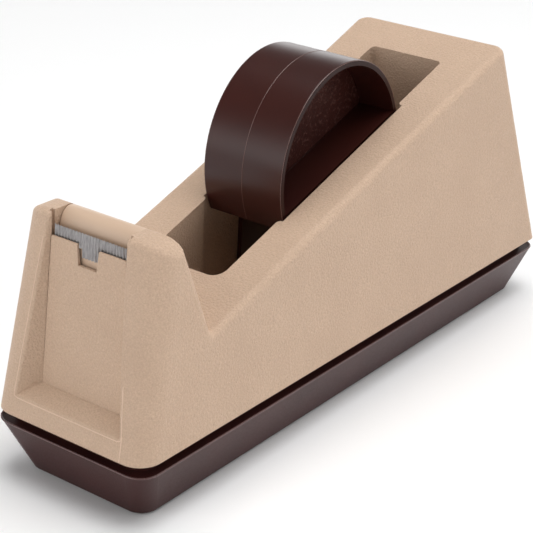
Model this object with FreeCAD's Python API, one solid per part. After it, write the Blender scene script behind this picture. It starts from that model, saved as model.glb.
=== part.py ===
import FreeCAD, Part
import math
import os

# Heavy desk tape dispenser. Millimetres, +Z up. The table is z = 0, the cutter is at -X, the tall
# rear is at +X, and y = 0 is the mid-plane that the housing and the hub are mirrored about.

V = FreeCAD.Vector

# Driving dimensions
CORE_RADIUS = 38.0          # the hub carries a standard 76 mm (3 in) tape core
HUB_AXIS = V(-3.5, 0, 91.7)
DECK_SLOPE = math.radians(18.57)    # the top deck rises to the rear and passes through the hub axis
PAD_PROUD = 1.0             # rubber pad standing out of the base
WALL = 3.0                  # moulded wall of the housing
GAP = 0.2                   # assembly gap between pieces that touch

# Base tray: walls lean outwards from the foot to the rim
FOOT = dict(front=-124.9, rear=127.2, half=27.1, radius=6.5, z=PAD_PROUD)
RIM = dict(front=-133.7, rear=134.1, half=34.2, radius=7.5, z=20.7)
BASE_WALL = 2.5
NECK_INSET = 4.2            # the tray steps in below the housing and leaves a shadow gap
PAD_INSET = 5.0
PAD_RECESS = 1.5

# Housing outline
HOUSING_Z = 24.8
FRONT_X = -134.1
REAR_X = 133.7
HALF_BOTTOM = 34.3
CHEEK_TOP_Z = 98.0
CROWN_Y = 19.0              # the cheek tops curve down outwards from here
CROWN_RADIUS = 14.0
CHEEK_TOP_FRONT_X = -122.4
CHEEK_TOP_REAR_X = -111.2
VALLEY_X = -97.3
REAR_TOP_X = 84.9
HALF_CHEEK_TOP = 29.7       # half width where the front face meets CHEEK_TOP_Z
HALF_REAR_TOP = 34.9
FRONT_CORNER = 8.7
FRONT_TOP_CORNER = 13.0
REAR_CORNER = 6.0
REAR_TOP_CORNER = 5.5
TOWER_ROUND = 3.0
VALLEY_ROUND = 2.0
TOP_EDGE_RADIUS = 2.6

# Tape well and the hub channels in its side walls
WELL_FRONT_X = -74.3
WELL_REAR_X = 66.0
WELL_HALF = 16.2
WELL_FLOOR_Z = 29.5
WELL_WALL = 2.4
CHANNEL_HALF = 18.1
CHANNEL_FRONT = 36.9        # from the hub axis towards the cutter
CHANNEL_REAR = 38.6         # from the hub axis towards the rear
CHANNEL_ROUND = 1.8
CHANNEL_FLOOR_Z = 36.0

# Cutter head between the cheeks
BAY_HALF = 16.3
SHELF_Z = 77.6
SHELF_WALL = 2.6
BAY_FRONT_X = -121.35
BAY_REAR_X = -113.2
BAY_BACK_WALL = 2.6
GROOVE_HALF = 17.6          # upright grooves in the cheeks beside the blade
PANEL_TOP = V(-122.2, 0, 89.6)
PANEL_FOOT = V(-125.7, 0, 36.4)
PANEL_HALF_TOP = 16.1
PANEL_HALF_FOOT = 17.7
PANEL_THICK = 2.0
PANEL_LIP = 0.6
PANEL_FIT = 0.06
NOTCH_HALF_TOP = 4.8
NOTCH_HALF_FOOT = 4.0
NOTCH_Z = 82.4
RECESS_HALF_TOP = 17.3
RECESS_HALF_FOOT = 23.2
RECESS_FOOT_Z = 32.6
RECESS_ROUND = 1.0
BLADE_X = -120.95
BLADE_THICK = 0.5
BLADE_TOP_Z = 93.8
BLADE_FOOT_Z = 87.9
BLADE_TAB_Z = 84.9
BLADE_TAB_HALF = 3.8
BLADE_HALF = 15.9
TOOTH_PITCH = 1.4
TOOTH_DEPTH = 1.1
BAR_HALF = 16.1
BAR_LAP_Z = 93.9            # the bar laps over the tower's rear wall above this height
BAR_FRONT_X = -118.4
BAR_REAR_X = -110.6
BAR_BLOCK_REAR_X = -113.4
BAR_FOOT_Z = 90.2
BAR_SHOULDER_Z = 94.8
BAR_CREST = V(-113.6, 0, 97.9)
BAR_HEEL_Z = 96.6
BAR_CROWN = 0.5             # how far the bar's top bulges between its corners

# Hub: two mirrored half drums, each a D-shaped cup on a tongue that stands in the channel
HUB_HALF = 17.2
HUB_WALL = 2.0
HUB_EDGE_RADIUS = 0.45
HUB_BELOW_DECK = math.radians(9.2)     # the rim runs on past the deck line at both ends
HUB_WEB = 1.5
HUB_FLOOR = 2.2
TONGUE_HALF = 15.8
TONGUE_THICK = 1.8
TONGUE_FOOT_Z = CHANNEL_FLOOR_Z + GAP
SEAM_GAP = 0.1

# Ballast and fasteners
BALLAST_GAP = 0.6
SLAB_TOP_Z = 22.6
SCREW_X = (-114.4, 112.0)
SCREW_Y = 17.0
SCREW_RADIUS = 1.9
SCREW_HEAD_RADIUS = 3.8
SCREW_HEAD = 2.2
SCREW_TOP_Z = 46.0
BOSS_RADIUS = 4.6
RIB_THICK = 2.0
BAR_SCREW_Y = 10.0
BAR_SCREW_X = -115.6
BAR_SCREW_RADIUS = 1.3
BAR_SCREW_HEAD_RADIUS = 2.6


def deck_z(x):
    """Height of the sloping top deck at x."""
    return HUB_AXIS.z + math.tan(DECK_SLOPE) * (x - HUB_AXIS.x)


def rounded_wire(corners, radii):
    """Closed wire through the corners, each rounded to its radius by a tangent arc."""
    arcs = []
    count = len(corners)
    for i, corner in enumerate(corners):
        back = (corners[i - 1] - corner).normalize()
        ahead = (corners[(i + 1) % count] - corner).normalize()
        half_angle = back.getAngle(ahead) / 2
        reach = radii[i] / math.tan(half_angle)
        inward = (back + ahead).normalize()
        middle = corner + inward * (radii[i] / math.sin(half_angle) - radii[i])
        arcs.append((corner + back * reach, middle, corner + ahead * reach))
    edges = []
    for i, (start, middle, end) in enumerate(arcs):
        if radii[i] > 0:
            edges.append(Part.Arc(start, middle, end).toShape())
        edges.append(Part.LineSegment(end, arcs[(i + 1) % count][0]).toShape())
    return Part.Wire(edges)


def plan_wire(front, rear, half_front, half_rear, r_front, r_rear, z):
    """Rounded four-sided outline in a level plane, symmetrical about y = 0."""
    corners = [V(front, -half_front, z), V(rear, -half_rear, z), V(rear, half_rear, z), V(front, half_front, z)]
    return rounded_wire(corners, [r_front, r_rear, r_rear, r_front])


def tray_wire(level, inset=0.0):
    """Outline of the base tray at one of its levels, moved inwards by inset."""
    half = level["half"] - inset
    radius = level["radius"] - inset / 2
    return plan_wire(level["front"] + inset, level["rear"] - inset, half, half, radius, radius, level["z"])


def level_between(low, high, z):
    """Tray outline values at height z, on the straight walls through two levels."""
    share = (z - low["z"]) / (high["z"] - low["z"])
    level = {key: low[key] + share * (high[key] - low[key]) for key in low}
    level["z"] = z
    return level


def side_profile(points, radii, half):
    """Solid with an outline in the XZ plane, reaching half to each side of y = 0."""
    wire = rounded_wire([V(x, -half, z) for x, z in points], radii)
    return Part.Face(wire).extrude(V(0, 2 * half, 0))


def box(x0, x1, y0, y1, z0, z1):
    return Part.makeBox(x1 - x0, y1 - y0, z1 - z0, V(x0, y0, z0))


def upright(x, y, z0, z1, radius):
    return Part.makeCylinder(radius, z1 - z0, V(x, y, z0))


def mirrored(shape):
    return shape.mirror(V(0, 0, 0), V(0, 1, 0))


def front_face_x(z):
    """Front face plane of the housing."""
    share = (z - HOUSING_Z) / (CHEEK_TOP_Z - HOUSING_Z)
    return FRONT_X + share * (CHEEK_TOP_FRONT_X - FRONT_X)


def rear_face_x(z):
    """Rear face plane of the housing."""
    share = (z - HOUSING_Z) / (deck_z(REAR_TOP_X) - HOUSING_Z)
    return REAR_X + share * (REAR_TOP_X - REAR_X)


def housing_sides(inset):
    """Four leaning walls with rounded corners; the sides twist slightly from front to rear."""
    top_z = deck_z(REAR_TOP_X) + 2
    rise = (top_z - HOUSING_Z) / (CHEEK_TOP_Z - HOUSING_Z)
    half_front_top = HALF_BOTTOM + rise * (HALF_CHEEK_TOP - HALF_BOTTOM)
    bottom = plan_wire(FRONT_X + inset, REAR_X - inset, HALF_BOTTOM - inset, HALF_BOTTOM - inset,
                       FRONT_CORNER - inset, REAR_CORNER - inset / 2, HOUSING_Z)
    top = plan_wire(front_face_x(top_z) + inset, rear_face_x(top_z) - inset, half_front_top - inset,
                    HALF_REAR_TOP - inset, FRONT_TOP_CORNER - inset, REAR_TOP_CORNER - inset / 2, top_z)
    return Part.makeLoft([bottom, top], True, True)


def crown(inset):
    """Space above the outward curve of the two cheek tops."""
    axis_z = CHEEK_TOP_Z - CROWN_RADIUS
    space = box(FRONT_X - 1, VALLEY_X, CROWN_Y, HALF_REAR_TOP, axis_z, CHEEK_TOP_Z + 1)
    start = V(FRONT_X - 1, CROWN_Y, axis_z)
    corner = space.cut(Part.makeCylinder(CROWN_RADIUS - inset, VALLEY_X - FRONT_X + 2, start, V(1, 0, 0)))
    return corner.fuse(mirrored(corner))


def housing_body(inset):
    """The housing's outer form, or its cavity when inset is the wall thickness."""
    lift = inset / math.cos(DECK_SLOPE)
    cheek_lean = (CHEEK_TOP_Z - deck_z(VALLEY_X)) / (VALLEY_X - CHEEK_TOP_REAR_X)
    back_shift = inset * math.hypot(1, cheek_lean) / cheek_lean
    valley = VALLEY_X - back_shift
    points = [
        (FRONT_X, HOUSING_Z - 10 * (inset > 0)),
        (FRONT_X, CHEEK_TOP_Z - inset),
        (CHEEK_TOP_REAR_X - back_shift, CHEEK_TOP_Z - inset),
        (valley, deck_z(valley) - lift),
        (REAR_X + 10, deck_z(REAR_X + 10) - lift),
        (REAR_X + 10, HOUSING_Z - 10 * (inset > 0)),
    ]
    tower_round = TOWER_ROUND if inset == 0 else 1.5
    cut = side_profile(points, [0, 0, tower_round, VALLEY_ROUND, 0, 0], HALF_REAR_TOP + 10)
    return housing_sides(inset).common(cut).cut(crown(inset))


def soften_top(body):
    """Round the rim of the top surface: deck, valley, tower back and cheek tops."""
    top_faces = [face for face in body.Faces if face.BoundBox.ZMin > deck_z(VALLEY_X) - 2]
    edges = [edge for face in top_faces for edge in face.Edges]
    rim = [edge for edge in edges if sum(edge.isSame(other) for other in edges) == 1]
    return body.makeFillet(TOP_EDGE_RADIUS, rim)


def panel_x(z):
    """Plane of the front panel's face."""
    share = (z - PANEL_FOOT.z) / (PANEL_TOP.z - PANEL_FOOT.z)
    return PANEL_FOOT.x + share * (PANEL_TOP.x - PANEL_FOOT.x)


def trapezium(foot_x, foot_half, foot_z, top_x, top_half, top_z):
    """Closed outline across the dispenser, wider or narrower at its top than at its foot."""
    return Part.makePolygon([
        V(foot_x, -foot_half, foot_z), V(foot_x, foot_half, foot_z), V(top_x, top_half, top_z),
        V(top_x, -top_half, top_z), V(foot_x, -foot_half, foot_z)])


def recess_cutter():
    """Pocket in the front face, deeper at its foot, with leaning side walls and a sill."""
    reach = 1.8     # carries the pocket's walls out past the front face
    rim_top = CHEEK_TOP_Z + 6
    foot_floor = V(PANEL_FOOT.x, PANEL_HALF_FOOT, PANEL_FOOT.z)
    foot_rim = V(front_face_x(RECESS_FOOT_Z), RECESS_HALF_FOOT, RECESS_FOOT_Z)
    foot = foot_floor + (foot_rim - foot_floor) * reach
    outer = trapezium(foot.x, foot.y, foot.z, front_face_x(rim_top) - 6, RECESS_HALF_TOP + 1, rim_top)
    inner = trapezium(PANEL_FOOT.x, PANEL_HALF_FOOT, PANEL_FOOT.z, panel_x(rim_top), BAY_HALF, rim_top)
    return Part.makeLoft([outer, inner], True, True)


def soften_recess(body):
    """Round the sides and the sill of the recess where they meet the front face."""
    edges = []
    for edge in body.Edges:
        middle = edge.BoundBox.Center
        on_face = abs(middle.x - front_face_x(middle.z)) < 0.05
        if on_face and abs(middle.y) < RECESS_HALF_FOOT and edge.BoundBox.ZMin > RECESS_FOOT_Z - 2:
            edges.append(edge)
    return body.makeFillet(RECESS_ROUND, edges)


def panel_seat(clearance):
    """Leaning slab that holds the front panel, widened by clearance for its seat."""
    top_z = PANEL_TOP.z + (0 if clearance == 0 else 12)
    foot_z = PANEL_FOOT.z - clearance
    front = trapezium(panel_x(foot_z) - clearance, PANEL_HALF_FOOT + clearance, foot_z,
                      panel_x(top_z) - clearance, PANEL_HALF_TOP + clearance, top_z)
    return Part.Face(front).extrude(V(PANEL_THICK + 2 * clearance, 0, 0))


def hub_channel(margin):
    """Slot in the well's side walls that the hub drops into, grown by a margin for the wall round it."""
    return box(HUB_AXIS.x - CHANNEL_FRONT - margin, HUB_AXIS.x + CHANNEL_REAR + margin, -CHANNEL_HALF - margin,
               CHANNEL_HALF + margin, CHANNEL_FLOOR_Z - margin, deck_z(WELL_REAR_X) + 5)


def tape_well():
    """Space of the tape well and the hub channels, with the channel edges eased."""
    top = deck_z(WELL_REAR_X) + 5
    corners = [V(WELL_FRONT_X, -WELL_HALF, WELL_FLOOR_Z), V(WELL_REAR_X, -WELL_HALF, WELL_FLOOR_Z),
               V(WELL_REAR_X, WELL_HALF, WELL_FLOOR_Z), V(WELL_FRONT_X, WELL_HALF, WELL_FLOOR_Z)]
    pocket = Part.Face(rounded_wire(corners, [5.0, 2.0, 2.0, 5.0])).extrude(V(0, 0, top - WELL_FLOOR_Z))
    space = pocket.fuse(hub_channel(0)).removeSplitter()
    edges = [edge for edge in space.Edges
             if edge.BoundBox.XLength < 0.01 and edge.BoundBox.YLength < 0.01 and edge.BoundBox.ZLength > 1
             and abs(abs(edge.BoundBox.Center.y) - WELL_HALF) < 0.01
             and WELL_FRONT_X + 10 < edge.BoundBox.XMin < WELL_REAR_X - 10]
    return space.makeFillet(CHANNEL_ROUND, edges)


def well_walls():
    """Walls and floor round the tape well, and the thicker stretch round the hub channels."""
    pocket = box(WELL_FRONT_X - WELL_WALL, WELL_REAR_X + WELL_WALL, -WELL_HALF - WELL_WALL,
                 WELL_HALF + WELL_WALL, WELL_FLOOR_Z - WELL_WALL, deck_z(WELL_REAR_X) + 5)
    return pocket.fuse(hub_channel(WELL_WALL))


def bay_walls():
    """Solid block that the cutter head's bay and the front recess are cut into."""
    outer_half = PANEL_HALF_FOOT + WALL + 1
    block = box(FRONT_X, BAY_REAR_X + BAY_BACK_WALL, -outer_half, outer_half, SHELF_Z - SHELF_WALL, CHEEK_TOP_Z)
    front_wall = side_profile([
        (FRONT_X - 1, HOUSING_Z + 4), (FRONT_X - 1, CHEEK_TOP_Z), (PANEL_TOP.x + WALL + 2, CHEEK_TOP_Z),
        (PANEL_FOOT.x + PANEL_THICK + WALL, PANEL_FOOT.z - 4), (PANEL_FOOT.x + WALL, HOUSING_Z + 4)],
        [0, 0, 0, 0, 0], RECESS_HALF_FOOT + WALL)
    return block.fuse(front_wall)


def bay():
    """Space between the cheeks for the landing bar and the blade, with its side grooves."""
    top = CHEEK_TOP_Z + 5
    room = box(BAY_FRONT_X, BAY_REAR_X, -BAY_HALF, BAY_HALF, SHELF_Z, top)
    groove = box(BLADE_X - 0.6, BAY_FRONT_X + 1.2, -GROOVE_HALF, GROOVE_HALF, SHELF_Z + 4, top)
    return room.fuse(groove)


def bay_mouth():
    """Opens the bay at the back over the tower's rear wall, where the landing bar laps it."""
    return box(BAY_REAR_X - 1, CHEEK_TOP_REAR_X + 5, -BAY_HALF, BAY_HALF, BAR_LAP_Z, CHEEK_TOP_Z + 5)


def bosses(radius, z0, z1):
    posts = [upright(x, y, z0, z1, radius) for x in SCREW_X for y in (-SCREW_Y, SCREW_Y)]
    return posts[0].multiFuse(posts[1:])


def screw_towers(clearance):
    """The housing's four screw bosses with the ribs that tie them to the side walls."""
    top = SCREW_TOP_Z + 3 + clearance
    half_rib = RIB_THICK / 2 + clearance
    ribs = []
    for x in SCREW_X:
        for y0, y1 in ((-HALF_REAR_TOP, -SCREW_Y), (SCREW_Y, HALF_REAR_TOP)):
            ribs.append(box(x - half_rib, x + half_rib, y0, y1, HOUSING_Z - clearance, top))
    return bosses(BOSS_RADIUS + clearance, HOUSING_Z - clearance, top).multiFuse(ribs)


def housing():
    """Beige moulded cover: hollow shell, tape well, cutter bay, front recess and screw bosses."""
    outer = soften_recess(soften_top(housing_body(0.0)).cut(recess_cutter()))
    cavity = housing_body(WALL)
    inner = well_walls().multiFuse([bay_walls(), screw_towers(0.0)])
    shell = outer.cut(cavity).fuse(inner.common(outer))
    spaces = [tape_well(), bay(), bay_mouth(), panel_seat(PANEL_FIT),
              bosses(SCREW_RADIUS, HOUSING_Z - 1, SCREW_TOP_Z + 0.5)]
    screws = [upright(BAR_SCREW_X, y, SHELF_Z - 20, SHELF_Z + 2, BAR_SCREW_RADIUS + GAP)
              for y in (-BAR_SCREW_Y, BAR_SCREW_Y)]
    return shell.cut(spaces + screws).removeSplitter()


def front_panel():
    """Panel in the front recess, with a notch in its top edge and its back cut clear of the blade."""
    clear = box(BAY_FRONT_X - 0.1, BAY_FRONT_X + 10, -BAY_HALF - 5, BAY_HALF + 5, SHELF_Z - 1, CHEEK_TOP_Z)
    panel = panel_seat(0.0).cut(clear)
    low = NOTCH_Z
    high = PANEL_TOP.z + 1
    notch = Part.makePolygon([V(-140, -NOTCH_HALF_FOOT, low), V(-140, NOTCH_HALF_FOOT, low),
                              V(-140, NOTCH_HALF_TOP, high), V(-140, -NOTCH_HALF_TOP, high),
                              V(-140, -NOTCH_HALF_FOOT, low)])
    panel = panel.cut(Part.Face(notch).extrude(V(30, 0, 0)))
    top_edges = [edge for edge in panel.Edges
                 if edge.BoundBox.ZMin > PANEL_TOP.z - 0.01 and edge.BoundBox.XLength < 0.01
                 and edge.BoundBox.XMin < PANEL_TOP.x + 0.5]
    return panel.makeFillet(PANEL_LIP, top_edges)


def bulged(start, end):
    """Arc between two corners of the bar's outline that stands out by BAR_CROWN in the middle."""
    chord = end - start
    outward = V(-chord.z, 0, chord.x).normalize()
    return Part.Arc(start, (start + end) / 2 + outward * BAR_CROWN, end)


def landing_bar():
    """Convex bar that the tape lands on, with the block under it that backs the blade."""
    y = -BAR_HALF
    foot = V(BAR_FRONT_X, y, BAR_FOOT_Z)
    shoulder = V(BAR_FRONT_X, y, BAR_SHOULDER_Z)
    crest = V(BAR_CREST.x, y, BAR_CREST.z)
    heel = V(BAR_REAR_X, y, BAR_HEEL_Z)
    lap = V(BAR_REAR_X, y, BAR_LAP_Z + GAP)
    inside = V(BAR_BLOCK_REAR_X, y, BAR_LAP_Z + GAP)
    under = V(BAR_BLOCK_REAR_X, y, foot.z)
    outline = [Part.LineSegment(foot, shoulder), bulged(shoulder, crest), bulged(crest, heel),
               Part.LineSegment(heel, lap), Part.LineSegment(lap, inside), Part.LineSegment(inside, under),
               Part.LineSegment(under, foot)]
    face = Part.Face(Part.Wire([curve.toShape() for curve in outline]))
    bar = face.extrude(V(0, 2 * BAR_HALF, 0))
    block = box(BLADE_X + BLADE_THICK / 2, BAR_BLOCK_REAR_X, -BAR_HALF, BAR_HALF, SHELF_Z + GAP, foot.z + 0.8)
    screws = [upright(BAR_SCREW_X, y, SHELF_Z - 1, SHELF_Z + 9, BAR_SCREW_RADIUS)
              for y in (-BAR_SCREW_Y, BAR_SCREW_Y)]
    return bar.fuse(block).cut(screws).removeSplitter()


def cutter_blade():
    """Serrated strip with a tab in the middle, one tooth for each rib of the corrugation."""
    front = BLADE_X - BLADE_THICK / 2
    points = [V(front, -BLADE_HALF, BLADE_FOOT_Z), V(front, -BLADE_TAB_HALF, BLADE_FOOT_Z),
              V(front, -BLADE_TAB_HALF, BLADE_TAB_Z), V(front, BLADE_TAB_HALF, BLADE_TAB_Z),
              V(front, BLADE_TAB_HALF, BLADE_FOOT_Z), V(front, BLADE_HALF, BLADE_FOOT_Z)]
    teeth = round(2 * BLADE_HALF / TOOTH_PITCH)
    pitch = 2 * BLADE_HALF / teeth
    for i in range(teeth):
        y = BLADE_HALF - i * pitch
        points.append(V(front, y, BLADE_TOP_Z - TOOTH_DEPTH))
        points.append(V(front, y - pitch / 2, BLADE_TOP_Z))
    points.append(V(front, -BLADE_HALF, BLADE_TOP_Z - TOOTH_DEPTH))
    face = Part.Face(Part.makePolygon(points + [points[0]]))
    return face.extrude(V(BLADE_THICK - 0.05, 0, 0))


def bar_screws():
    """Two screws from below the shelf that hold the landing bar."""
    screws = []
    for y in (-BAR_SCREW_Y, BAR_SCREW_Y):
        head_top = SHELF_Z - SHELF_WALL
        shank = upright(BAR_SCREW_X, y, head_top, SHELF_Z + 8.5, BAR_SCREW_RADIUS - 0.02)
        head = upright(BAR_SCREW_X, y, head_top - 1.8, head_top, BAR_SCREW_HEAD_RADIUS)
        screws.append(shank.fuse(head))
    return Part.makeCompound(screws)


def hub_drum(radius, length, y0):
    """Cylinder sector about the hub axis, open side parallel to the deck."""
    start = DECK_SLOPE - HUB_BELOW_DECK
    end = math.pi + DECK_SLOPE + HUB_BELOW_DECK
    middle = (start + end) / 2
    tips = [HUB_AXIS + V(radius * math.cos(a), y0, radius * math.sin(a)) for a in (start, middle, end)]
    edges = [Part.Arc(*tips).toShape(), Part.LineSegment(tips[2], tips[0]).toShape()]
    return Part.Face(Part.Wire(edges)).extrude(V(0, length, 0))


def deck_slab(length, width0, width1, top, bottom):
    """Slab parallel to the deck through the hub axis, between two offsets along the deck normal."""
    slab = box(-length, length, width0, width1, bottom, top)
    slab.rotate(V(0, 0, 0), V(0, 1, 0), -math.degrees(DECK_SLOPE))
    slab.translate(HUB_AXIS)
    return slab


def right_hub_half():
    """Hub half on the -Y side: rim, web, floor and the tongue that drops into the channel."""
    seam_y = -SEAM_GAP / 2
    drum = hub_drum(CORE_RADIUS, HUB_HALF + seam_y, -HUB_HALF)
    rim = [edge for edge in drum.Edges
           if edge.BoundBox.YLength < 0.01 and edge.BoundBox.YMin < -HUB_HALF + 0.01 and edge.Length > 80]
    drum = drum.makeFillet(HUB_EDGE_RADIUS, rim)
    inside = hub_drum(CORE_RADIUS - HUB_WALL, HUB_HALF + seam_y - HUB_WEB, -HUB_HALF)
    above = deck_slab(CORE_RADIUS * 2, -HUB_HALF - 1, seam_y - HUB_WEB, CORE_RADIUS * 2, 0)
    below = deck_slab(CORE_RADIUS * 2, -HUB_HALF - 1, seam_y, -HUB_FLOOR, -CORE_RADIUS * 4)
    core = Part.makeCylinder(CORE_RADIUS - HUB_WALL, HUB_HALF + seam_y, HUB_AXIS - V(0, HUB_HALF, 0), V(0, 1, 0))
    under = core.common(below)
    tongue = box(HUB_AXIS.x - TONGUE_HALF, HUB_AXIS.x + TONGUE_HALF, -HUB_HALF, -HUB_HALF + TONGUE_THICK,
                 TONGUE_FOOT_Z, HUB_AXIS.z)
    floor_down = deck_slab(CORE_RADIUS * 2, -HUB_HALF - 1, 0, -HUB_FLOOR / 2, -CORE_RADIUS * 4)
    return drum.cut(inside.common(above)).cut(under).fuse(tongue.common(floor_down)).removeSplitter()


def base_tray():
    """Brown tray with leaning walls, a rim ledge, a recessed neck and a pad recess underneath."""
    outer = Part.makeLoft([tray_wire(FOOT), tray_wire(RIM)], True, True)
    neck_level = dict(RIM, z=RIM["z"] - 1)
    neck = Part.Face(tray_wire(neck_level, NECK_INSET)).extrude(V(0, 0, HOUSING_Z - GAP - neck_level["z"]))
    body = outer.fuse(neck)
    low = level_between(FOOT, RIM, PAD_PROUD + PAD_RECESS + BASE_WALL)
    high = dict(RIM, z=RIM["z"] - BASE_WALL)
    cavity = Part.makeLoft([tray_wire(low, BASE_WALL + 1), tray_wire(high, NECK_INSET + BASE_WALL)], True, True)
    mouth_level = dict(high, z=high["z"] - 0.5)
    mouth = Part.Face(tray_wire(mouth_level, NECK_INSET + BASE_WALL)).extrude(V(0, 0, 12))
    pad_level = dict(FOOT, z=PAD_PROUD - 1)
    pad_seat = Part.Face(tray_wire(pad_level, PAD_INSET - GAP)).extrude(V(0, 0, PAD_RECESS + 1))
    heads = bosses(SCREW_HEAD_RADIUS + GAP, PAD_PROUD, PAD_PROUD + PAD_RECESS + SCREW_HEAD - 1)
    posts = bosses(BOSS_RADIUS, PAD_PROUD + PAD_RECESS, HOUSING_Z - GAP)
    holes = bosses(SCREW_RADIUS + GAP, PAD_PROUD, HOUSING_Z + 1)
    return body.cut([cavity, mouth]).fuse(posts).cut([pad_seat, heads, holes]).removeSplitter()


def non_slip_pad():
    """Rubber sheet in the recess under the tray."""
    level = dict(FOOT, z=0.0)
    return Part.Face(tray_wire(level, PAD_INSET)).extrude(V(0, 0, PAD_PROUD + PAD_RECESS - GAP))


def base_screws():
    """Four screws up through the tray into the housing's bosses; the pad covers their heads."""
    foot = PAD_PROUD + PAD_RECESS
    head_top = foot + SCREW_HEAD - 1
    screws = []
    for x in SCREW_X:
        for y in (-SCREW_Y, SCREW_Y):
            head = upright(x, y, foot, head_top, SCREW_HEAD_RADIUS)
            shank = upright(x, y, head_top - 0.5, SCREW_TOP_Z, SCREW_RADIUS - 0.02)
            screws.append(head.fuse(shank))
    return Part.makeCompound(screws)


def ballast_slab():
    """Cast weight lying in the tray, cut out round the screw posts."""
    floor = PAD_PROUD + PAD_RECESS + BASE_WALL + GAP
    low = level_between(FOOT, RIM, floor)
    high = dict(RIM, z=RIM["z"] - BASE_WALL)
    inset = NECK_INSET + BASE_WALL + BALLAST_GAP
    slab = Part.makeLoft([tray_wire(low, BASE_WALL + 1 + BALLAST_GAP), tray_wire(high, inset)], True, True)
    upper = Part.Face(tray_wire(dict(high, z=high["z"]), inset)).extrude(V(0, 0, SLAB_TOP_Z - high["z"]))
    return slab.fuse(upper).cut(bosses(BOSS_RADIUS + BALLAST_GAP, 0, HOUSING_Z)).removeSplitter()


def upper_ballast(x0, x1, z1):
    """Cast block inside the housing, above the slab and clear of the well and the walls."""
    room = housing_body(WALL + BALLAST_GAP)
    block = box(x0, x1, -HALF_REAR_TOP, HALF_REAR_TOP, SLAB_TOP_Z + GAP, z1)
    neck = dict(RIM, z=SLAB_TOP_Z)
    lower = Part.Face(tray_wire(neck, NECK_INSET + BASE_WALL + BALLAST_GAP)).extrude(V(0, 0, z1))
    towers = [screw_towers(BALLAST_GAP), bosses(BOSS_RADIUS + BALLAST_GAP, 0, HOUSING_Z)]
    return block.common(room).common(lower).cut(towers).removeSplitter()


def export(name, shape):
    shape.exportStep(os.path.join("parts", name + ".step"))
    solids = len(shape.Solids)
    print(f"{name:18s} solids {solids}  valid {shape.isValid()}  volume {shape.Volume / 1000:9.2f} cm3")


os.makedirs("parts", exist_ok=True)
right_half = right_hub_half()
nodes = {
    "housing": housing(),
    "base_tray": base_tray(),
    "non_slip_pad": non_slip_pad(),
    "base_screws": base_screws(),
    "ballast_slab": ballast_slab(),
    "ballast_rear": upper_ballast(WELL_REAR_X + WELL_WALL + BALLAST_GAP, REAR_X, 84.0),
    "ballast_front": upper_ballast(SCREW_X[0] + BOSS_RADIUS + BALLAST_GAP,
                                   WELL_FRONT_X - WELL_WALL - BALLAST_GAP, 44.0),
    "front_panel": front_panel(),
    "landing_bar": landing_bar(),
    "bar_screws": bar_screws(),
    "cutter_blade": cutter_blade(),
    "hub_half_right": right_half,
    "hub_half_left": mirrored(right_half),
}
for name, shape in nodes.items():
    export(name, shape)
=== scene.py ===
import math

import bmesh
import bpy
from mathutils import Matrix, Vector


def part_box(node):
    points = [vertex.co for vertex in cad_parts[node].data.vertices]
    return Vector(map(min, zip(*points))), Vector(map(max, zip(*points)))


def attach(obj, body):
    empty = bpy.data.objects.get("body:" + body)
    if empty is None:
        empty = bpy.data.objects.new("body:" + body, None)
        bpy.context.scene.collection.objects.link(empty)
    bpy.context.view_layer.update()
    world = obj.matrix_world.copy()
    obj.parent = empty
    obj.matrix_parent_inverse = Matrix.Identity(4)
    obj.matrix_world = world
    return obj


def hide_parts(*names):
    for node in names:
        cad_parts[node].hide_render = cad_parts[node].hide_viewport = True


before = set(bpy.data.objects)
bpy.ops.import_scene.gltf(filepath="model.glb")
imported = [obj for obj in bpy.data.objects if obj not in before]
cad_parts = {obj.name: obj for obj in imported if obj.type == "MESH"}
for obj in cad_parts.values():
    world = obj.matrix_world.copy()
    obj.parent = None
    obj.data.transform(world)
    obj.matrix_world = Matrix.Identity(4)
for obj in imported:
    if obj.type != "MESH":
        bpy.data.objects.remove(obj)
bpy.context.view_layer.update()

# Looks of a heavy desk tape dispenser: materials for every piece, the corrugated cutter, the rounded
# landing bar, the fine lines of the mouldings, soft studio light and the camera. Lengths are in metres.

MM = 0.001
TUBE_SIDES = 8
SHARP_ANGLE = math.radians(40)

# Camera: where it stands, what it looks at and how it is tilted
CAMERA_AT = Vector((-469.8, -318.75, 292.0)) * MM
CAMERA_AIM = Vector((-44.3, -14.6, 61.0)) * MM
CAMERA_ROLL = 0.048
CAMERA_LENS = 107.7
CAMERA_SHIFT = (0.0008, 0.0051)

# Cutter
RIBS = 24
RIB_DEPTH = 0.3 * MM
TOOTH_DEPTH = 0.9 * MM
TAB_DROP = 3.0 * MM
TAB_HALF = 3.8 * MM
STRIP_THICK = 0.18 * MM
STEPS_PER_RIB = 12
BLADE_ROWS = 6

# Landing bar: how far its parts lie from the corners of its box
BAR_SETBACK = 2.3 * MM
BAR_BACK = 3.0 * MM
BAR_RISE = 7.4 * MM
BAR_HEEL = 1.8 * MM
BAR_LAP = 4.2 * MM
BAR_ENDS = ((0.0, 0.06), (0.15 * MM, 0.025), (0.5 * MM, 0.0))   # distance from the end, share of shrinking
CREST_STEPS = 16
HEEL_STEPS = 6

# Hub: the parting line over its two halves, its web and the end faces of its rim
HUB_RADIUS = 38.0 * MM
HUB_INSIDE = 36.3 * MM
HUB_WEB_HALF = 1.9 * MM
HUB_RIM_FACE = 16.9 * MM
HUB_EDGE_Y = 17.04 * MM
SEAM_START = math.radians(9.9)
SEAM_END = math.radians(207.2)
SEAM_SUNK = 0.06 * MM
SEAM_RADIUS = 0.15 * MM
EDGE_SUNK = 0.16 * MM
EDGE_RADIUS = 0.13 * MM
BEAD_STEPS = 140

# Base: the moulded bead along the tray's rim, coloured lighter than the tray as a painted highlight
RIM_Z = 20.7 * MM
RIM_CORNER = 7.5 * MM
RIM_STEPS = 8
BEAD_RADIUS = 0.35 * MM
BEAD_SUNK = 0.21 * MM

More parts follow.
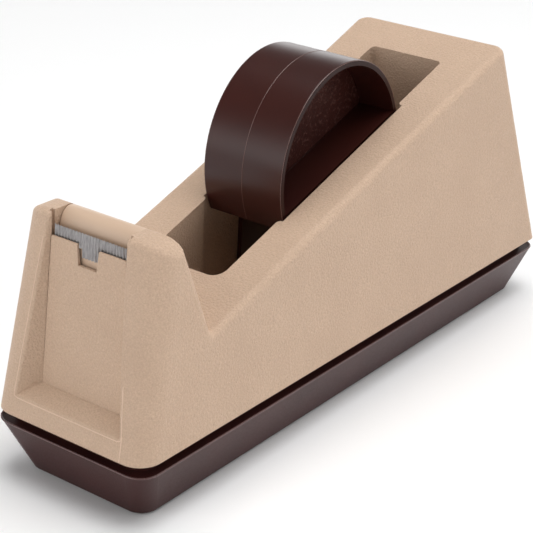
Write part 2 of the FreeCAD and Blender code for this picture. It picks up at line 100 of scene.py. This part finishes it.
# Front recess: the moulded lines just outside its edges
LINE_FOOT = (24.1 * MM, 31.7 * MM)
LINE_TOP = (18.2 * MM, 89.0 * MM)
LINE_NEAR_SHARE = 0.35      # how far the line climbs the near side of the recess
LINE_CORNER = 2.0 * MM
LINE_END_Z = 25.1 * MM
LINE_RADIUS = 0.2 * MM
LINE_BEND = 0.25            # how much of its corner the bend cuts off
SIDE_STEPS = 20
SILL_STEPS = 12
DROP_STEPS = 4
AHEAD_OF_HOUSING = -0.3

# Floor and light
FLOOR_SIZE = 5.0
SWEEP_STRENGTH = 1.8
SWEEP_HEIGHTS = (0.16, 0.44)    # sine of the elevation where the sweep starts and stops fading
ZENITH_SHARE = 0.09
DARK_SIDE = (-0.76, -0.56, 0.34)
DARK_SIDE_EDGES = (0.2, 0.9)    # cosine of the angle to the dark side where it starts and stops fading
DARK_SIDE_SHARE = 0.4
OVERHEAD = 36.0
NEAR_SIDE = 5.8
FRONT = 8.0


def hub_axis():
    """Middle of the hub's axis: its drum is round, but cut off below."""
    low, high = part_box("hub_half_right")
    return Vector((low.x + HUB_RADIUS, 0, high.z - HUB_RADIUS))


# ---------------------------------------------------------------- materials

def ranged(tree, value, low, high, to_low, to_high):
    """Map a value's range low..high onto to_low..to_high."""
    node = tree.nodes.new("ShaderNodeMapRange")
    for socket, number in zip(("From Min", "From Max", "To Min", "To Max"), (low, high, to_low, to_high)):
        node.inputs[socket].default_value = number
    tree.links.new(value, node.inputs["Value"])
    return node.outputs["Result"]


class Nodes:
    """A node tree being written: one material with its Principled shader and object coordinates."""

    def __init__(self, name, roughness, metallic=0.0, specular=0.5):
        self.material = bpy.data.materials.new(name)
        self.material.use_nodes = True
        self.tree = self.material.node_tree
        self.shader = self.tree.nodes["Principled BSDF"]
        self.shader.inputs["Roughness"].default_value = roughness
        self.shader.inputs["Metallic"].default_value = metallic
        self.shader.inputs["Specular IOR Level"].default_value = specular
        self.place = self.tree.nodes.new("ShaderNodeTexCoord").outputs["Object"]

    def link(self, out, into):
        self.tree.links.new(out, into)

    def stretched(self, x, y, z):
        """Object coordinates scaled along each axis."""
        node = self.tree.nodes.new("ShaderNodeMapping")
        node.inputs["Scale"].default_value = (x, y, z)
        self.link(self.place, node.inputs["Vector"])
        return node.outputs["Vector"]

    def noise(self, grain, detail=3.0, place=None, distortion=0.0):
        """Noise whose features are about grain metres across."""
        node = self.tree.nodes.new("ShaderNodeTexNoise")
        node.inputs["Scale"].default_value = 1 / grain
        node.inputs["Detail"].default_value = detail
        node.inputs["Distortion"].default_value = distortion
        self.link(place or self.place, node.inputs["Vector"])
        return node.outputs["Fac"]

    def pebbles(self, grain):
        """Rounded cells about grain metres across, high in the middle of each."""
        node = self.tree.nodes.new("ShaderNodeTexVoronoi")
        node.feature = "SMOOTH_F1"
        node.inputs["Scale"].default_value = 1 / grain
        node.inputs["Smoothness"].default_value = 0.6
        self.link(self.place, node.inputs["Vector"])
        return self.spread(node.outputs["Distance"], 0.0, 0.8, 1.0, 0.0)

    def spread(self, value, low, high, to_low, to_high):
        """Map a value's range low..high onto to_low..to_high in this material."""
        return ranged(self.tree, value, low, high, to_low, to_high)

    def times(self, a, b):
        node = self.tree.nodes.new("ShaderNodeMath")
        node.operation = "MULTIPLY"
        self.link(a, node.inputs[0])
        if isinstance(b, float):
            node.inputs[1].default_value = b
        else:
            self.link(b, node.inputs[1])
        return node.outputs["Value"]

    def plus(self, a, b):
        node = self.tree.nodes.new("ShaderNodeMath")
        self.link(a, node.inputs[0])
        self.link(b, node.inputs[1])
        return node.outputs["Value"]

    def within(self, axis, low, high, soft=0.1 * MM):
        """1 where the object coordinate on the axis lies between low and high, else 0."""
        split = self.tree.nodes.new("ShaderNodeSeparateXYZ")
        self.link(self.place, split.inputs["Vector"])
        above = self.spread(split.outputs[axis], low - soft, low, 0.0, 1.0)
        below = self.spread(split.outputs[axis], high, high + soft, 1.0, 0.0)
        return self.times(above, below)

    def inside(self, centre, radius, soft=0.1 * MM):
        """1 inside a cylinder that runs along Y through the centre, else 0."""
        offset = self.tree.nodes.new("ShaderNodeVectorMath")
        offset.operation = "SUBTRACT"
        offset.inputs[1].default_value = centre
        self.link(self.place, offset.inputs[0])
        flat = self.tree.nodes.new("ShaderNodeVectorMath")
        flat.operation = "MULTIPLY"
        flat.inputs[1].default_value = (1, 0, 1)
        self.link(offset.outputs["Vector"], flat.inputs[0])
        reach = self.tree.nodes.new("ShaderNodeVectorMath")
        reach.operation = "LENGTH"
        self.link(flat.outputs["Vector"], reach.inputs[0])
        return self.spread(reach.outputs["Value"], radius - soft, radius, 1.0, 0.0)

    def blend(self, share, first, second):
        """Colour between first and second by a share."""
        node = self.tree.nodes.new("ShaderNodeMix")
        node.data_type = "RGBA"
        self.link(share, node.inputs["Factor"])
        for socket, colour in ((node.inputs[6], first), (node.inputs[7], second)):
            if isinstance(colour, tuple):
                socket.default_value = (*colour, 1.0)
            else:
                self.link(colour, socket)
        return node.outputs[2]

    def colour(self, value):
        self.link(value, self.shader.inputs["Base Color"])

    def shine(self, value):
        self.link(value, self.shader.inputs["Specular IOR Level"])

    def roughness(self, value):
        self.link(value, self.shader.inputs["Roughness"])

    def bump(self, height, depth, strength=1.0):
        """Relief of the given depth in metres."""
        node = self.tree.nodes.new("ShaderNodeBump")
        node.inputs["Distance"].default_value = depth
        node.inputs["Strength"].default_value = strength
        self.link(height, node.inputs["Height"])
        self.link(node.outputs["Normal"], self.shader.inputs["Normal"])


def grained_plastic(name, light, dark, grain, depth):
    """Moulded beige plastic with a spark-eroded pebble grain; its darker speckle and lighter crests are
    painted shade and painted highlights on the grain.
    """
    m = Nodes(name, roughness=0.55, specular=0.35)
    cloud = m.spread(m.noise(18 * MM, 2.0), 0.3, 0.7, 0.0, 1.0)
    speckle = m.spread(m.noise(grain * 0.7, 2.0), 0.35, 0.65, 0.0, 1.0)
    mottled = m.blend(cloud, light, dark)
    # Painted shade and painted highlights: speckle darkens the colour and the crests lighten it, standing in
    # for light on the pebble grain.
    shaded = m.blend(m.times(speckle, 0.5), mottled, tuple(0.8 * c for c in dark))
    grain_crest_painted_highlight = m.spread(m.noise(grain * 0.8, 3.0), 0.56, 0.7, 0.0, 0.3)
    m.colour(m.blend(grain_crest_painted_highlight, shaded, tuple(1.2 * c for c in light)))
    m.roughness(m.spread(m.noise(grain, 3.0), 0.3, 0.7, 0.48, 0.66))
    relief = m.plus(m.pebbles(grain), m.noise(grain * 0.4, 2.0))
    m.bump(relief, depth, 0.75)
    return m.material


def smooth_plastic(name, light, dark, roughness, specular=0.5, ripple=4 * MM):
    """Smooth moulded plastic with faint flow marks and fine scuffs."""
    m = Nodes(name, roughness=roughness, specular=specular)
    cloud = m.spread(m.noise(25 * MM, 2.0, distortion=0.6), 0.3, 0.7, 0.0, 1.0)
    m.colour(m.blend(cloud, light, dark))
    scuffs = m.noise(0.6 * MM, 4.0)
    m.roughness(m.spread(scuffs, 0.25, 0.75, roughness - 0.05, roughness + 0.08))
    m.bump(m.plus(m.noise(ripple, 2.0), m.times(scuffs, 0.15)), 0.03 * MM, 0.5)
    return m.material


def hub_plastic():
    """Dark brown plastic: glossy on the drum, stippled on the web, duller on the rim's end faces, which are
    painted darker as shade.
    """
    m = Nodes("hub_brown", roughness=0.3, specular=0.38)
    cloud = m.spread(m.noise(22 * MM, 2.0, distortion=0.5), 0.3, 0.7, 0.0, 1.0)
    plain = m.blend(cloud, (0.041, 0.0095, 0.0068), (0.033, 0.008, 0.006))
    web = m.times(m.within("Y", -HUB_WEB_HALF, HUB_WEB_HALF), m.inside(hub_axis(), HUB_INSIDE))
    grain = m.noise(1.1 * MM, 3.0)
    specks = m.times(m.spread(grain, 0.56, 0.68, 0.0, 1.0), web)
    drum = m.within("Y", -HUB_RIM_FACE, HUB_RIM_FACE)
    # Painted shade: the rim's end faces get a darker colour than the drum.
    rim_face_painted_shade = m.blend(drum, (0.022, 0.006, 0.0045), plain)
    m.colour(m.blend(m.times(specks, 0.5), rim_face_painted_shade, (0.13, 0.06, 0.05)))
    m.shine(m.times(m.spread(web, 0.0, 1.0, 0.4, 0.14), m.spread(drum, 0.0, 1.0, 0.3, 1.0)))
    stipple = m.times(grain, web)
    m.roughness(m.spread(stipple, 0.0, 0.6, 0.28, 0.5))
    m.bump(m.plus(stipple, m.times(m.noise(5 * MM, 2.0), 0.08)), 0.35 * MM, 0.7)
    return m.material


def corrugated_steel():
    """Nickel-plated strip with faint drawing lines down the ribs."""
    m = Nodes("cutter_steel", roughness=0.38, metallic=1.0)
    lines = m.noise(0.25 * MM, 3.0, place=m.stretched(1.0, 1.0, 0.12))
    m.colour(m.blend(m.spread(lines, 0.3, 0.7, 0.0, 1.0), (0.25, 0.24, 0.24), (0.42, 0.4, 0.4)))
    m.roughness(m.spread(m.noise(1.5 * MM, 3.0), 0.3, 0.7, 0.3, 0.5))
    m.bump(lines, 0.02 * MM, 0.5)
    return m.material


def screw_steel():
    """Zinc plating with cloudy patches."""
    m = Nodes("zinc_steel", roughness=0.4, metallic=1.0)
    patches = m.spread(m.noise(1.2 * MM, 4.0), 0.3, 0.7, 0.0, 1.0)
    m.colour(m.blend(patches, (0.5, 0.5, 0.5), (0.62, 0.6, 0.55)))
    m.roughness(m.spread(patches, 0.0, 1.0, 0.3, 0.5))
    m.bump(patches, 0.02 * MM, 0.5)
    return m.material


def foam_rubber():
    """Black foam with small open cells."""
    m = Nodes("foam_rubber", roughness=0.9, specular=0.2)
    cells = m.pebbles(0.7 * MM)
    m.colour(m.blend(cells, (0.012, 0.012, 0.012), (0.03, 0.029, 0.028)))
    m.bump(m.plus(cells, m.noise(2.5 * MM, 3.0)), 0.2 * MM, 0.8)
    return m.material


def cast_cement():
    """Grey cement, sandy and pitted."""
    m = Nodes("cast_cement", roughness=0.92, specular=0.2)
    sand = m.noise(1.1 * MM, 5.0)
    cloud = m.spread(m.noise(14 * MM, 4.0), 0.3, 0.7, 0.0, 1.0)
    m.colour(m.blend(cloud, (0.36, 0.35, 0.33), (0.24, 0.235, 0.225)))
    m.bump(m.plus(sand, m.pebbles(2.2 * MM)), 0.5 * MM, 0.8)
    return m.material


def studio_floor():
    """Matt paint that is nearly white and faintly uneven."""
    m = Nodes("studio_floor", roughness=0.8, specular=0.1)
    cloud = m.noise(0.5, 2.0)
    m.colour(m.blend(cloud, (0.93, 0.93, 0.93), (0.9, 0.9, 0.9)))
    return m.material


def dress(node, material):
    """Give a CAD node its material."""
    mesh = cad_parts[node].data
    mesh.materials.clear()
    mesh.materials.append(material)


# ---------------------------------------------------------------- pieces

def skin(bm, rings, closed=False):
    """Faces between rings of vertices: round in a loop when closed, else with a cap at each end."""
    count = len(rings[0])
    following = rings[1:] + rings[:1] if closed else rings[1:]
    for a, b in zip(rings, following):
        for k in range(count):
            bm.faces.new((a[k], b[k], b[(k + 1) % count], a[(k + 1) % count]))
    if not closed:
        bm.faces.new(rings[0])
        bm.faces.new(rings[-1])


def ring_round(bm, centre, first, second, radius):
    """Ring of vertices about a centre, in the plane of two unit directions."""
    turns = [2 * math.pi * k / TUBE_SIDES for k in range(TUBE_SIDES)]
    return [bm.verts.new(centre + (first * math.cos(t) + second * math.sin(t)) * radius) for t in turns]


def mesh_piece(name, bm, material, body):
    """Turn a bmesh into a smooth-shaded piece that rides on a body and takes the given material."""
    bmesh.ops.recalc_face_normals(bm, faces=bm.faces)
    mesh = bpy.data.meshes.new(name)
    bm.to_mesh(mesh)
    bm.free()
    for polygon in mesh.polygons:
        polygon.use_smooth = True
    mesh.set_sharp_from_angle(angle=SHARP_ANGLE)
    mesh.materials.append(material)
    piece = bpy.data.objects.new(name, mesh)
    bpy.context.scene.collection.objects.link(piece)
    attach(piece, body)
    return piece


def blade_edge(y, half, low, high):
    """Foot and tip heights of the corrugated strip at y: a tooth on every rib, a tab in the middle."""
    phase = (y + half) / (2 * half) * RIBS % 1.0
    tip = high - TOOTH_DEPTH * abs(2 * phase - 1)
    foot = low if abs(y) < TAB_HALF else low + TAB_DROP
    return foot, tip


def corrugated_blade(material):
    """The cutter: a steel strip pressed into upright ribs, toothed along its top edge."""
    low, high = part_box("cutter_blade")
    half = high.y
    middle = (low.x + high.x) / 2
    count = RIBS * STEPS_PER_RIB
    ys = [-half + 2 * half * i / count for i in range(count + 1)]
    # one column just inside and one just outside each edge of the tab keep those edges upright
    ys += [side * TAB_HALF * share for side in (-1, 1) for share in (0.9999, 1.0001)]
    bm = bmesh.new()
    sheets = {}
    for side in (-1, 1):
        grid = []
        for y in sorted(ys):
            foot, tip = blade_edge(y, half, low.z, high.z)
            wave = RIB_DEPTH * math.cos((y + half) / (2 * half) * RIBS * 2 * math.pi)
            x = middle + wave + side * STRIP_THICK / 2
            heights = [foot + (tip - foot) * k / BLADE_ROWS for k in range(BLADE_ROWS + 1)]
            grid.append([bm.verts.new((x, y, z)) for z in heights])
        sheets[side] = grid
        for a, b in zip(grid, grid[1:]):
            for k in range(BLADE_ROWS):
                bm.faces.new((a[k], b[k], b[k + 1], a[k + 1]))
    front, back = sheets[-1], sheets[1]
    for i in range(len(front) - 1):
        for k in (0, BLADE_ROWS):
            bm.faces.new((front[i][k], front[i + 1][k], back[i + 1][k], back[i][k]))
    for i in (0, -1):
        for k in range(BLADE_ROWS):
            bm.faces.new((front[i][k], front[i][k + 1], back[i][k + 1], back[i][k]))
    piece = mesh_piece("corrugated_cutter", bm, material, "dispenser")
    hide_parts("cutter_blade")


def bar_profile(low, high):
    """Outline of the landing bar and its block across the dispenser, as (x, z) corners."""
    front = low.x + BAR_SETBACK
    crest = high.x - BAR_BACK
    shelf = high.z - BAR_RISE
    lap = high.z - BAR_LAP
    outline = [(low.x, low.z), (low.x, shelf), (front, shelf)]
    for k in range(1, CREST_STEPS + 1):
        turn = math.pi / 2 * k / CREST_STEPS
        outline.append((crest - (crest - front) * math.cos(turn), shelf + BAR_RISE * math.sin(turn)))
    for k in range(1, HEEL_STEPS + 1):
        turn = math.pi / 2 * k / HEEL_STEPS
        outline.append((crest + BAR_BACK * math.sin(turn), high.z - BAR_HEEL * (1 - math.cos(turn))))
    return outline + [(high.x, lap), (crest, lap), (crest, low.z)]


def rounded_bar(material):
    """The landing bar with a smooth convex top and eased ends, on its block."""
    low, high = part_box("landing_bar")
    outline = bar_profile(low, high)
    centre = Vector(((low.x + high.x) / 2, high.z - BAR_LAP))
    bm = bmesh.new()
    rings = []
    for back, shrink in BAR_ENDS:
        for side in (-1, 1):
            y = side * (high.y - back)
            corners = [centre + (Vector(point) - centre) * (1 - shrink) for point in outline]
            rings.append((y, [bm.verts.new((corner.x, y, corner.y)) for corner in corners]))
    rings = [ring for _, ring in sorted(rings, key=lambda pair: pair[0])]
    skin(bm, rings)
    piece = mesh_piece("rounded_landing_bar", bm, material, "dispenser")
    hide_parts("landing_bar")


def hub_bead(name, y, sink, radius, material):
    """Fine bead that follows the drum's curve at y, its centre sunk below the drum's surface."""
    axis = hub_axis()
    bm = bmesh.new()
    rings = []
    for i in range(BEAD_STEPS + 1):
        turn = SEAM_START + (SEAM_END - SEAM_START) * i / BEAD_STEPS
        outward = Vector((math.cos(turn), 0, math.sin(turn)))
        centre = axis + outward * (HUB_RADIUS - sink) + Vector((0, y, 0))
        rings.append(ring_round(bm, centre, Vector((0, 1, 0)), outward, radius))
    skin(bm, rings)
    mesh_piece(name, bm, material, "hub")


def hub_beads(material):
    """The bead along the parting line and the sharp outer edges of the two rims, all coloured lighter than
    the drum as painted highlights.
    """
    hub_bead("hub_parting_line", 0.0, SEAM_SUNK, SEAM_RADIUS, material)
    for side, label in ((-1, "right"), (1, "left")):
        hub_bead(f"hub_rim_edge_{label}", side * HUB_EDGE_Y, EDGE_SUNK, EDGE_RADIUS, material)


def front_spot(y, z):
    """Point and normal of the housing's front face at y and z."""
    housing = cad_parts["housing"]
    _, spot, normal, _ = housing.ray_cast(Vector((AHEAD_OF_HOUSING, y, z)), Vector((1, 0, 0)))
    return spot, normal


def front_tube(bm, path):
    """Fine ridge on the housing's front face along a path of (y, z) points."""
    rings = []
    for i, (y, z) in enumerate(path):
        before = Vector(path[max(i - 1, 0)])
        after = Vector(path[min(i + 1, len(path) - 1)])
        along = (after - before).normalized()
        spot, normal = front_spot(y, z)
        across = Vector((0, along.y, -along.x))
        rings.append(ring_round(bm, spot, across, normal, LINE_RADIUS))
    skin(bm, rings)


def dotted(start, end, count):
    """Points at even steps from start to end, both included."""
    return [Vector(start).lerp(Vector(end), k / count) for k in range(count + 1)]


def recess_lines(material):
    """Moulded lines round the front recess, and the one that runs down from its near corner, coloured
    lighter than the housing as painted highlights.
    """
    top = Vector(LINE_TOP)
    foot = Vector(LINE_FOOT)
    climb = (top - foot).normalized() * LINE_CORNER
    side = dotted(foot + climb, top, SIDE_STEPS)
    bend = foot + Vector((-LINE_CORNER, LINE_CORNER)) * LINE_BEND
    sill = foot - Vector((LINE_CORNER, 0))
    near_count = round(LINE_NEAR_SHARE * len(side))
    near = [Vector((-point.x, point.y)) for point in [sill, bend] + side[:near_count]]
    bm = bmesh.new()
    front_tube(bm, side[::-1] + [bend] + dotted(sill, near[0], SILL_STEPS)[:-1] + near)
    front_tube(bm, dotted((-foot.x, foot.y + LINE_CORNER), (-foot.x, LINE_END_Z), DROP_STEPS))
    mesh_piece("recess_mould_lines", bm, material, "dispenser")


def rim_outline():
    """Points and outward directions round the tray's rim, corner by corner."""
    low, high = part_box("base_tray")
    corners = ((high.x, high.y, 0), (low.x, high.y, 90), (low.x, low.y, 180), (high.x, low.y, 270))
    outline = []
    for x, y, start in corners:
        centre = Vector((x - math.copysign(RIM_CORNER, x), y - math.copysign(RIM_CORNER, y), RIM_Z))
        for k in range(RIM_STEPS + 1):
            turn = math.radians(start + 90 * k / RIM_STEPS)
            outward = Vector((math.cos(turn), math.sin(turn), 0))
            outline.append((centre + outward * RIM_CORNER, outward))
    return outline


def rim_bead(material):
    """Fine rounded bead that runs all the way round the rim of the base tray, coloured lighter than the tray
    as a painted highlight.
    """
    bm = bmesh.new()
    rings = []
    for point, outward in rim_outline():
        centre = point - outward * BEAD_SUNK
        rings.append(ring_round(bm, centre, outward, Vector((0, 0, 1)), BEAD_RADIUS))
    skin(bm, rings, closed=True)
    mesh_piece("base_rim_bead", bm, material, "dispenser")


def floor(material):
    """Plain pale floor that the object stands on."""
    bm = bmesh.new()
    bmesh.ops.create_grid(bm, x_segments=8, y_segments=8, size=FLOOR_SIZE / 2)
    mesh = bpy.data.meshes.new("floor")
    bm.to_mesh(mesh)
    bm.free()
    mesh.materials.append(material)
    ground = bpy.data.objects.new("floor", mesh)
    bpy.context.scene.collection.objects.link(ground)


# ---------------------------------------------------------------- light and camera

def area_light(name, at, aim, size, energy):
    """Soft square light that shines from one point towards another."""
    light = bpy.data.lights.new(name, "AREA")
    light.size = size
    light.energy = energy
    lamp = bpy.data.objects.new(name, light)
    lamp.location = at
    lamp.rotation_euler = (Vector(aim) - Vector(at)).to_track_quat("-Z", "Y").to_euler()
    bpy.context.scene.collection.objects.link(lamp)


def surroundings():
    """White sweep: bright near the horizon, darker higher up and on the dark side of the studio."""
    world = bpy.data.worlds.new("studio")
    world.use_nodes = True
    tree = world.node_tree
    direction = tree.nodes.new("ShaderNodeTexCoord").outputs["Generated"]
    split = tree.nodes.new("ShaderNodeSeparateXYZ")
    tree.links.new(direction, split.inputs["Vector"])
    height = ranged(tree, split.outputs["Z"], *SWEEP_HEIGHTS, SWEEP_STRENGTH, SWEEP_STRENGTH * ZENITH_SHARE)
    towards = tree.nodes.new("ShaderNodeVectorMath")
    towards.operation = "DOT_PRODUCT"
    towards.inputs[1].default_value = DARK_SIDE
    tree.links.new(direction, towards.inputs[0])
    shade = ranged(tree, towards.outputs["Value"], *DARK_SIDE_EDGES, 1.0, DARK_SIDE_SHARE)
    product = tree.nodes.new("ShaderNodeMath")
    product.operation = "MULTIPLY"
    tree.links.new(height, product.inputs[0])
    tree.links.new(shade, product.inputs[1])
    background = tree.nodes["Background"]
    background.inputs["Color"].default_value = (1.0, 1.0, 1.0, 1.0)
    tree.links.new(product.outputs["Value"], background.inputs["Strength"])
    bpy.context.scene.world = world


def studio():
    """A white sweep, a big light overhead and softer ones at the near side and the front."""
    surroundings()
    centre = (0.0, 0.0, 0.06)
    area_light("overhead", (0.2, -0.2, 1.9), centre, 1.6, OVERHEAD)
    area_light("near_side", (0.5, -1.7, 0.9), centre, 1.2, NEAR_SIDE)
    area_light("front", (-1.7, 0.25, 0.75), centre, 1.2, FRONT)
    bpy.context.scene.view_settings.view_transform = "Standard"


def camera():
    """Camera looking down on the cutter end from the near side, tilted slightly."""
    data = bpy.data.cameras.new("camera")
    data.lens = CAMERA_LENS
    data.shift_x, data.shift_y = CAMERA_SHIFT
    data.clip_start = 0.01
    view = bpy.data.objects.new("camera", data)
    ahead = (CAMERA_AIM - CAMERA_AT).normalized()
    level = ahead.cross(Vector((0, 0, 1))).normalized()
    rise = level.cross(ahead)
    right = math.cos(CAMERA_ROLL) * level + math.sin(CAMERA_ROLL) * rise
    up = right.cross(ahead)
    turn = Matrix((right, up, -ahead)).transposed()
    view.matrix_world = Matrix.Translation(CAMERA_AT) @ turn.to_4x4()
    bpy.context.scene.collection.objects.link(view)
    bpy.context.scene.camera = view


# ---------------------------------------------------------------- the scene

beige = grained_plastic("beige_grained", (0.58, 0.413, 0.297), (0.55, 0.388, 0.277), 0.85 * MM, 0.25 * MM)
satin = smooth_plastic("beige_satin", (0.6, 0.435, 0.315), (0.57, 0.41, 0.295), 0.42)
# Painted highlight: the lighter beige of the recess lines.
recess_edge_painted_highlight = smooth_plastic("beige_painted_highlight", (0.68, 0.5, 0.375), (0.64, 0.47, 0.35), 0.4)
brown = smooth_plastic("base_brown", (0.05, 0.0155, 0.014), (0.04, 0.0125, 0.0115), 0.32, specular=0.17)
# Painted highlight: the lighter brown of the hub's parting line and rim-edge beads.
hub_lines_painted_highlight = smooth_plastic("brown_painted_highlight", (0.14, 0.07, 0.058), (0.11, 0.052, 0.044), 0.3)
# Painted highlight: the lighter, redder colour of the tray's rim bead.
tray_rim_painted_highlight = smooth_plastic("tray_rim_painted_highlight", (0.1, 0.045, 0.042), (0.08, 0.036, 0.034), 0.28)
hub_brown = hub_plastic()
steel = corrugated_steel()
zinc = screw_steel()
rubber = foam_rubber()
cement = cast_cement()

MATERIALS = {
    "housing": beige, "front_panel": beige, "landing_bar": satin, "cutter_blade": steel, "bar_screws": zinc,
    "base_tray": brown, "base_screws": zinc, "non_slip_pad": rubber, "ballast_slab": cement,
    "ballast_rear": cement, "ballast_front": cement, "hub_half_right": hub_brown, "hub_half_left": hub_brown,
}
for node, material in MATERIALS.items():
    dress(node, material)

corrugated_blade(steel)
rounded_bar(satin)
recess_lines(recess_edge_painted_highlight)
hub_beads(hub_lines_painted_highlight)
rim_bead(tray_rim_painted_highlight)
floor(studio_floor())
studio()
camera()
